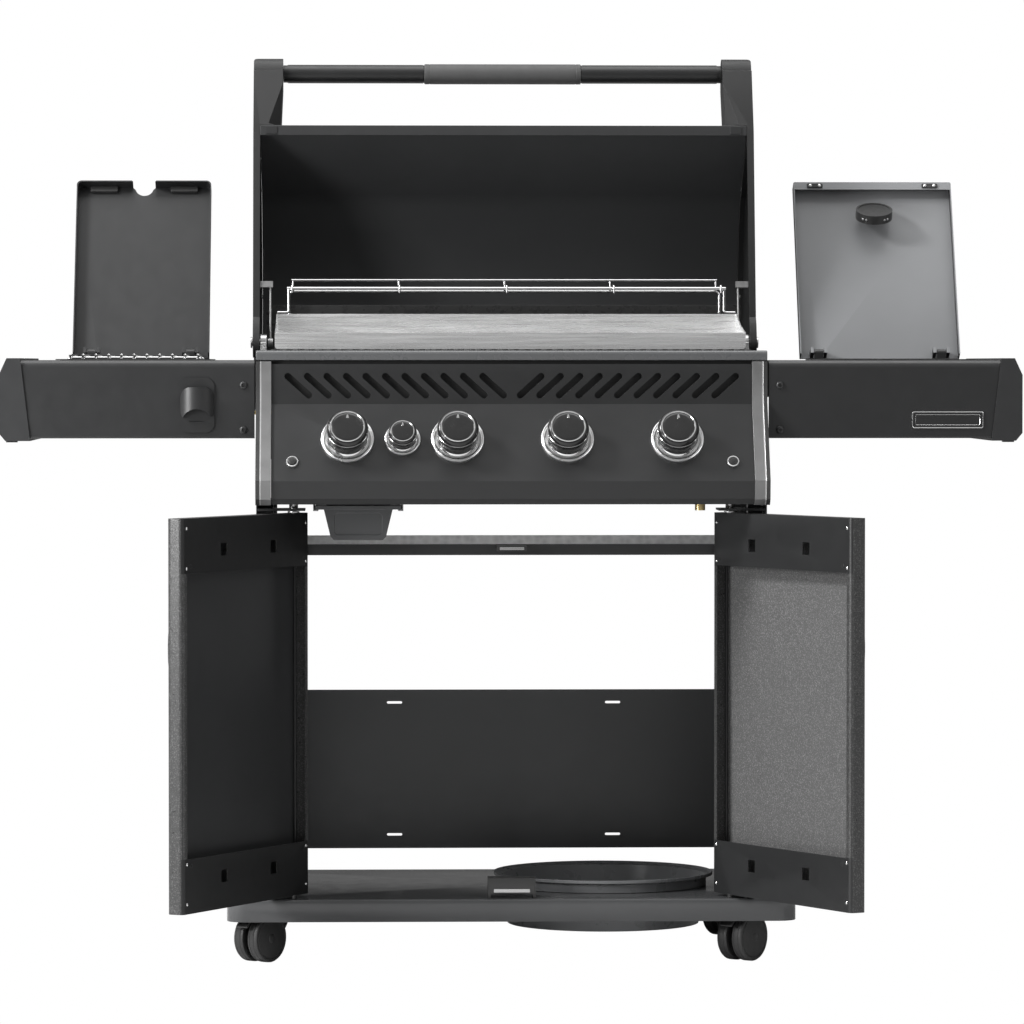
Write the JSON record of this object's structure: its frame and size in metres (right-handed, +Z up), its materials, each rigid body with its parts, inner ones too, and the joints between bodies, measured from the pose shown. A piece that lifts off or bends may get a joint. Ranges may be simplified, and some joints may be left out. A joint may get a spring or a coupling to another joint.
{
  "type": "gas barbecue grill",
  "caption": "Gas grill on a closed cart: hooded firebox, control panel with knobs, side burner shelf, lidded side bin, double doors, grease tub and casters.",
  "frame": {"origin": "on the floor under the middle of the bounding box, with lid, doors and shelf lids open as stored", "axes": "+Z up, front with the knobs faces -Y, +X to the right of a person in front of it"},
  "size_m": [1.585, 0.9704, 1.4315],
  "materials": {
    "satin_black": "satin powder coat",
    "light_paint": "satin powder coat",
    "dark_paint": "matt powder coat",
    "cast_grey": "painted casting",
    "enamel": "porcelain enamel",
    "stainless": "brushed",
    "galvanised": "galvanised",
    "chrome": "polished",
    "knob_black": "glossy moulded",
    "grip_grey": "textured",
    "brass": "machined",
    "cast_iron": "matt enamel",
    "black_plastic": "moulded",
    "wheel_grey": "moulded",
    "rubber": "matt"
  },
  "bodies": {
    "cart": {"base_shelf": "light_paint", "tank_ring": "dark_paint", "base_frame": "dark_paint", "side_panels": "satin_black", "back_panel": "dark_paint", "frame_rails": "dark_paint", "magnet_catches": "black_plastic", "firebox": "enamel", "top_trim": "satin_black", "control_panel": "satin_black", "panel_ends": "cast_grey", "knob_bezels": "chrome", "gas_manifold": "brass", "burner_tubes": "stainless", "heat_tents": "stainless", "cooking_grids": "cast_iron", "griddle_tray": "stainless", "warming_rack": "chrome", "grease_runners": "galvanised", "shelf_left": "satin_black", "shelf_right": "satin_black", "shelf_bin": "enamel", "shelf_end_caps": "satin_black", "side_burner": "enamel", "side_burner_grate": "chrome", "bottle_opener": "satin_black", "badge_plate": "chrome", "shelf_bolts": "satin_black", "lid_pivots": "stainless"},
    "lid": {"lid_shell": "satin_black", "lid_ends": "satin_black", "lid_handle": "satin_black", "handle_grip": "grip_grey", "lid_gauge": "chrome", "lid_stays": "chrome"},
    "burner_lid": {"burner_lid": "satin_black", "burner_lid_bumpers": "rubber"},
    "bin_lid": {"bin_lid": "satin_black", "bin_lid_bumpers": "rubber", "thermometer_hub": "black_plastic"},
    "door_left": {"door_left": "satin_black"},
    "door_right": {"door_right": "satin_black"},
    "grease_tub": {"grease_tub": "dark_paint"},
    "knob_1": {"knob_1": "knob_black"},
    "knob_2": {"knob_2": "knob_black"},
    "knob_3": {"knob_3": "knob_black"},
    "knob_4": {"knob_4": "knob_black"},
    "knob_side_burner": {"knob_side_burner": "knob_black"},
    "ignition_button": {"ignition_button": "black_plastic"},
    "light_button": {"light_button": "black_plastic"},
    "caster_fl": {"caster_fork_fl": "black_plastic"},
    "wheels_fl": {"caster_wheels_fl": "wheel_grey"},
    "caster_fr": {"caster_fork_fr": "black_plastic"},
    "wheels_fr": {"caster_wheels_fr": "wheel_grey"},
    "caster_rl": {"caster_fork_rl": "black_plastic"},
    "wheels_rl": {"caster_wheels_rl": "wheel_grey"},
    "caster_rr": {"caster_fork_rr": "black_plastic"},
    "wheels_rr": {"caster_wheels_rr": "wheel_grey"},
    "brake_fl": {"caster_brake_fl": "black_plastic"},
    "brake_fr": {"caster_brake_fr": "black_plastic"}
  },
  "joints": [
    {"name": "lid_hinge", "type": "hinge", "parent": "cart", "child": "lid", "pos_m": [0, 0.21785, 0.965], "axis": [1, 0, 0], "range_deg": [0, 100]},
    {"name": "burner_lid_hinge", "type": "hinge", "parent": "cart", "child": "burner_lid", "pos_m": [-0.59, 0.23285, 0.948], "axis": [1, 0, 0], "range_deg": [0, 118]},
    {"name": "bin_lid_hinge", "type": "hinge", "parent": "cart", "child": "bin_lid", "pos_m": [0.612, 0.23285, 0.948], "axis": [1, 0, 0], "range_deg": [0, 118]},
    {"name": "door_left_hinge", "type": "hinge", "parent": "cart", "child": "door_left", "pos_m": [-0.338, -0.19215, 0.4], "axis": [0, 0, 1], "range_deg": [0, 119]},
    {"name": "door_right_hinge", "type": "hinge", "parent": "cart", "child": "door_right", "pos_m": [0.338, -0.19215, 0.4], "axis": [0, 0, -1], "range_deg": [0, 119]},
    {"name": "knob_1_turn", "type": "hinge", "parent": "cart", "child": "knob_1", "pos_m": [-0.25455, -0.22191, 0.813], "axis": [0, -0.866, 0.5], "range_deg": [0, 220]},
    {"name": "knob_2_turn", "type": "hinge", "parent": "cart", "child": "knob_2", "pos_m": [-0.08485, -0.22191, 0.813], "axis": [0, -0.866, 0.5], "range_deg": [0, 220]},
    {"name": "knob_3_turn", "type": "hinge", "parent": "cart", "child": "knob_3", "pos_m": [0.08485, -0.22191, 0.813], "axis": [0, -0.866, 0.5], "range_deg": [0, 220]},
    {"name": "knob_4_turn", "type": "hinge", "parent": "cart", "child": "knob_4", "pos_m": [0.25455, -0.22191, 0.813], "axis": [0, -0.866, 0.5], "range_deg": [0, 220]},
    {"name": "knob_side_burner_turn", "type": "hinge", "parent": "cart", "child": "knob_side_burner", "pos_m": [-0.1697, -0.22191, 0.813], "axis": [0, -0.866, 0.5], "range_deg": [0, 220]},
    {"name": "ignition_button_press", "type": "slide", "parent": "cart", "child": "ignition_button", "axis": [0, 0.866, -0.5], "range_m": [0, 0.003], "stiffness_N_per_m": 400},
    {"name": "light_button_press", "type": "slide", "parent": "cart", "child": "light_button", "axis": [0, 0.866, -0.5], "range_m": [0, 0.003], "stiffness_N_per_m": 400},
    {"name": "grease_tub_slide", "type": "slide", "parent": "cart", "child": "grease_tub", "axis": [0, 1, 0], "range_m": [-0.22, 0]},
    {"name": "caster_fl_swivel", "type": "hinge", "parent": "cart", "child": "caster_fl", "pos_m": [-0.376, -0.13615, 0.086], "axis": [0, 0, 1], "continuous": true},
    {"name": "wheels_fl_roll", "type": "hinge", "parent": "caster_fl", "child": "wheels_fl", "pos_m": [-0.3911, -0.1548, 0.0375], "axis": [0.7771, -0.6293, 0], "continuous": true},
    {"name": "brake_fl_press", "type": "hinge", "parent": "caster_fl", "child": "brake_fl", "pos_m": [-0.39268, -0.15675, 0.084], "axis": [0.7771, -0.6293, 0], "range_deg": [0, 8]},
    {"name": "caster_fr_swivel", "type": "hinge", "parent": "cart", "child": "caster_fr", "pos_m": [0.376, -0.13615, 0.086], "axis": [0, 0, 1], "continuous": true},
    {"name": "wheels_fr_roll", "type": "hinge", "parent": "caster_fr", "child": "wheels_fr", "pos_m": [0.3609, -0.1548, 0.0375], "axis": [0.7771, -0.6293, 0], "continuous": true},
    {"name": "brake_fr_press", "type": "hinge", "parent": "caster_fr", "child": "brake_fr", "pos_m": [0.35932, -0.15675, 0.084], "axis": [0.7771, -0.6293, 0], "range_deg": [0, 8]},
    {"name": "caster_rl_swivel", "type": "hinge", "parent": "cart", "child": "caster_rl", "pos_m": [-0.376, 0.23185, 0.086], "axis": [0, 0, 1], "continuous": true},
    {"name": "wheels_rl_roll", "type": "hinge", "parent": "caster_rl", "child": "wheels_rl", "pos_m": [-0.3911, 0.2132, 0.0375], "axis": [0.7771, -0.6293, 0], "continuous": true},
    {"name": "caster_rr_swivel", "type": "hinge", "parent": "cart", "child": "caster_rr", "pos_m": [0.376, 0.23185, 0.086], "axis": [0, 0, 1], "continuous": true},
    {"name": "wheels_rr_roll", "type": "hinge", "parent": "caster_rr", "child": "wheels_rr", "pos_m": [0.3609, 0.2132, 0.0375], "axis": [0.7771, -0.6293, 0], "continuous": true}
  ]
}
